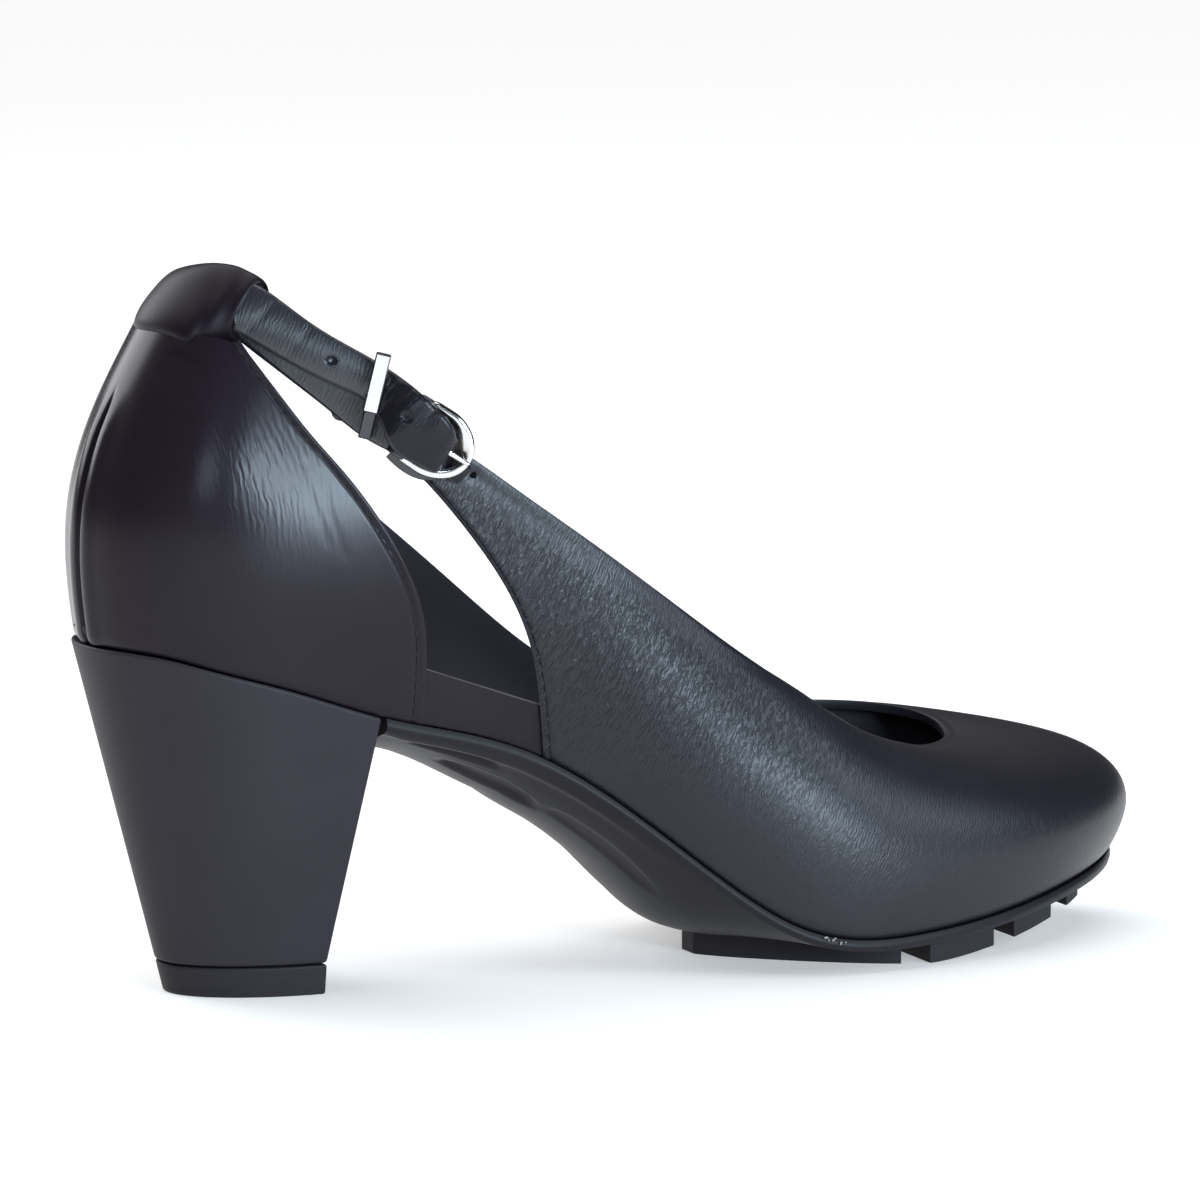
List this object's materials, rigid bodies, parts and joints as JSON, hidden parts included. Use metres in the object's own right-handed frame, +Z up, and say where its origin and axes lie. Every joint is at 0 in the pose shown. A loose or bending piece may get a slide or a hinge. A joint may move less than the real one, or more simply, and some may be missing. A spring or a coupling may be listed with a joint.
{
  "type": "mid heel shoe",
  "caption": "Closed-toe leather pump for a right foot with a block heel, a cut-out on the outer side and a buckled ankle strap.",
  "frame": {"origin": "on the floor, under the middle of the shoe's bounding box", "axes": "+X from the heel to the toe, +Y to the inner side of the foot, +Z up"},
  "size_m": [0.2271, 0.0809, 0.1396],
  "materials": {
    "upper_leather": "black grained leather, soft sheen",
    "sole_rubber": "black moulded rubber, satin",
    "heel_leather": "smooth black leather cover, matt",
    "top_piece_rubber": "black hard rubber",
    "insole_leather": "dark matt sock lining",
    "collar_leather": "black leather, soft sheen",
    "strap_leather": "black grained leather",
    "tail_leather": "black grained leather",
    "frame_metal": "polished nickel",
    "prong_metal": "polished nickel",
    "keeper_metal": "polished nickel"
  },
  "bodies": {
    "root": {"upper": "upper_leather", "outsole": "sole_rubber", "heel_block": "heel_leather", "heel_top_piece": "top_piece_rubber", "insole": "insole_leather", "collar_loop": "collar_leather", "ankle_strap": "strap_leather", "strap_tail": "tail_leather", "buckle_frame": "frame_metal", "buckle_prong": "prong_metal", "strap_keeper": "keeper_metal"}
  },
  "joints": []
}
